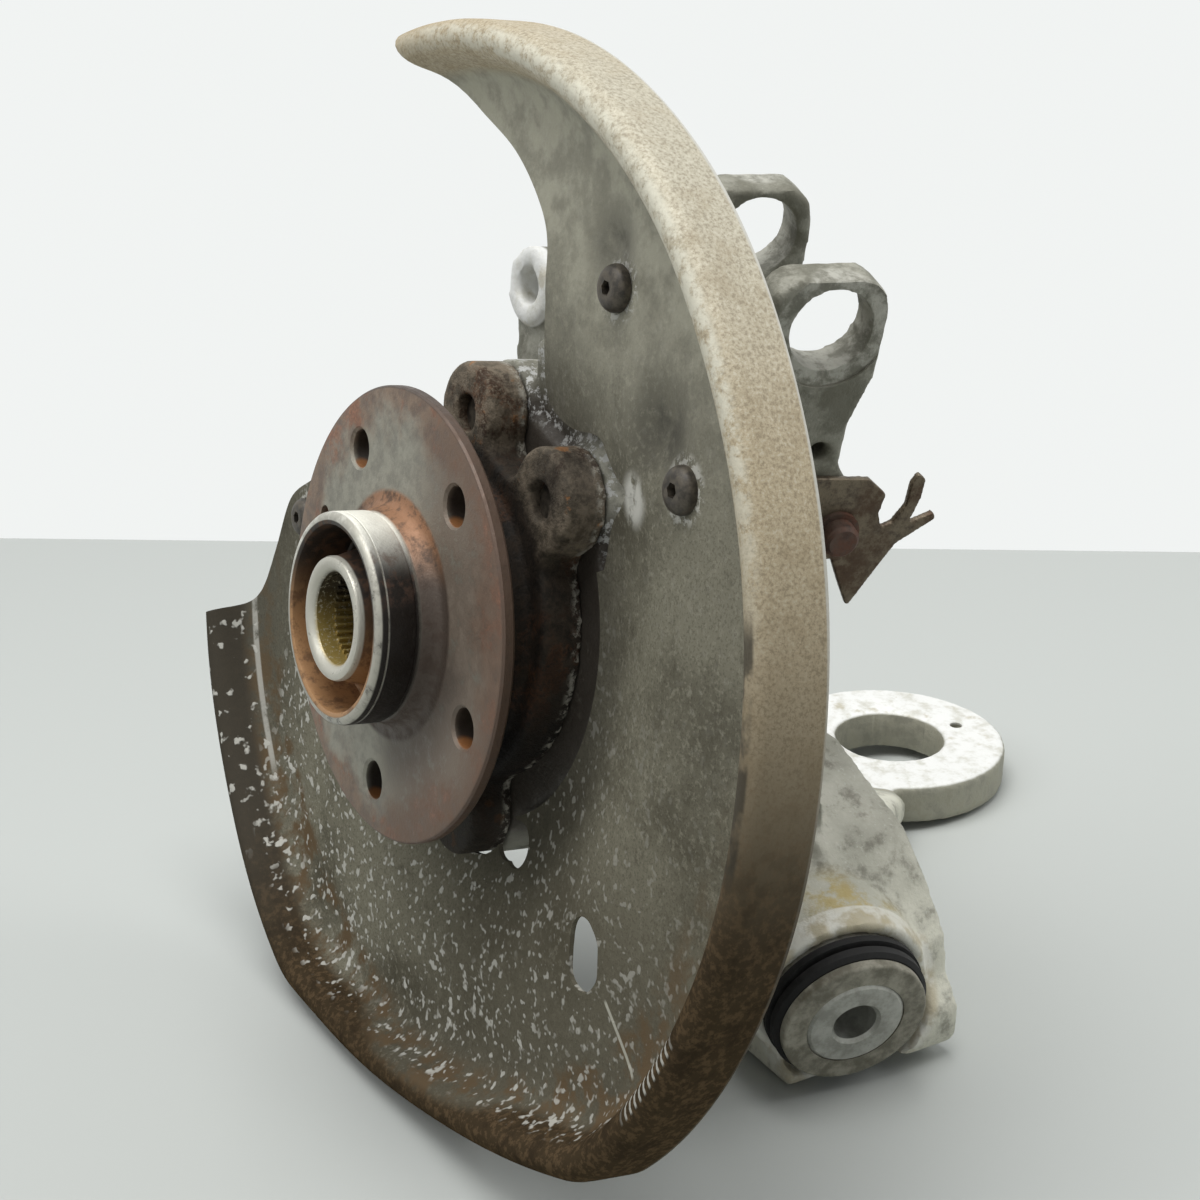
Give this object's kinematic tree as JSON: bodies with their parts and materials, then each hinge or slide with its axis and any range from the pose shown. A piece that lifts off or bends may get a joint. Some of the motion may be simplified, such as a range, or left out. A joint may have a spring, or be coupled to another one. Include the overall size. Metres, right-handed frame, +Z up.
{
  "type": "steering knuckle",
  "caption": "Cast wheel carrier with flanged wheel hub and bearing, pressed splash shield, link fork, bushed arm eye and large ring eye.",
  "frame": {"origin": "centre of the wheel hub's face, on the wheel axis", "axes": "+Z up, along the ring eye's bore; +Y inboard; the wheel axis points along -Y and 8 degrees up"},
  "size_m": [0.3572, 0.3422, 0.3528],
  "materials": {
    "cast_aluminium": "rough cast, weathered",
    "shield_sheet": "worn coating with white corrosion specks",
    "dark_screws": "dark coated, dull",
    "hub_steel": "rusted, machined edges bright",
    "bearing_steel": "dark rust and grease",
    "bright_steel": "ground",
    "ball_steel": "polished",
    "cage_plastic": "moulded",
    "seal_rubber": "satin",
    "encoder_rubber": "satin",
    "bush_metal": "turned",
    "bush_rubber": "dull",
    "sleeve_metal": "turned, dull",
    "bush_caps": "dusty",
    "bracket_steel": "brown tarnish",
    "bracket_bolt_steel": "rusty"
  },
  "bodies": {
    "carrier": {"knuckle_casting": "cast_aluminium", "splash_shield": "shield_sheet", "shield_screws": "dark_screws", "bearing_outer_ring": "bearing_steel", "seal_outboard": "seal_rubber", "seal_inboard": "seal_rubber", "bearing_bolts": "dark_screws", "bush_shell": "bush_metal", "bush_rubber": "bush_rubber", "bush_sleeve": "sleeve_metal", "bush_caps": "bush_caps", "hose_bracket": "bracket_steel", "bracket_bolt": "bracket_bolt_steel"},
    "hub": {"hub_flange": "hub_steel", "bearing_inner_ring_outboard": "bright_steel", "bearing_inner_ring_inboard": "bright_steel", "encoder_ring": "encoder_rubber"},
    "ball_train": {"bearing_balls_outboard": "ball_steel", "bearing_balls_inboard": "ball_steel", "ball_cage_outboard": "cage_plastic", "ball_cage_inboard": "cage_plastic"}
  },
  "joints": [
    {"name": "hub_spin", "type": "hinge", "parent": "carrier", "child": "hub", "pos_m": [0, 0, 0], "axis": [0, -0.9903, 0.1392], "continuous": true},
    {"name": "ball_train_spin", "type": "hinge", "parent": "carrier", "child": "ball_train", "pos_m": [0, 0, 0], "axis": [0, -0.9903, 0.1392], "continuous": true}
  ],
  "couplings": [
    {"joint": "ball_train_spin", "follows": "hub_spin", "ratio": 0.40298}
  ]
}
